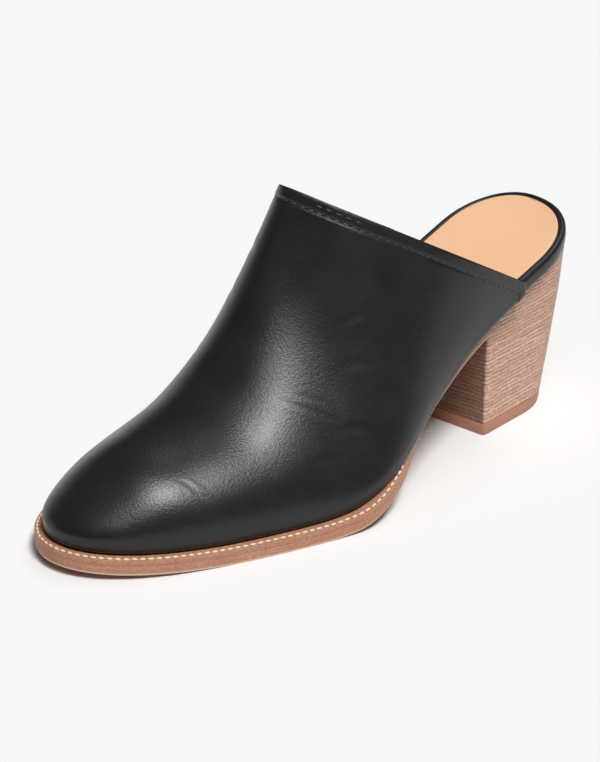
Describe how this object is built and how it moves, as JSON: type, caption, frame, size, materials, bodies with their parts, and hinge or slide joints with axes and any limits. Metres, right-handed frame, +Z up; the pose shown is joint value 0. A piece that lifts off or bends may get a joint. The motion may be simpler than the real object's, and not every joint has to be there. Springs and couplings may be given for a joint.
{
  "type": "mule shoe",
  "caption": "Women's heeled mule for the left foot: closed almond toe, high one-piece vamp, open back, footbed with a rim, welted sole and stacked block heel.",
  "frame": {"origin": "on the ground, under the middle of the whole shoe's box", "axes": "+Z up; +Y along the shoe from toe to heel, so the toe points to -Y; +X to the outer side of the left foot"},
  "size_m": [0.0996, 0.25, 0.1125],
  "materials": {
    "toplift": "matt moulded rubber, reddish brown",
    "heel_block": "stacked leather, sanded and lightly waxed, with fine layer lines",
    "outsole": "sole leather with a trimmed, stained and waxed edge",
    "welt": "sole leather strip, stitched",
    "footbed": "smooth black leather wrapped over board, semi-gloss",
    "sock": "smooth undyed leather, matt",
    "upper": "smooth fine-grained black leather, semi-gloss",
    "gore": "grey woven elastic"
  },
  "bodies": {
    "root": {"toplift": "toplift", "heel_block": "heel_block", "outsole": "outsole", "welt": "welt", "footbed": "footbed", "sock": "sock", "upper": "upper", "gore": "gore"}
  },
  "joints": []
}
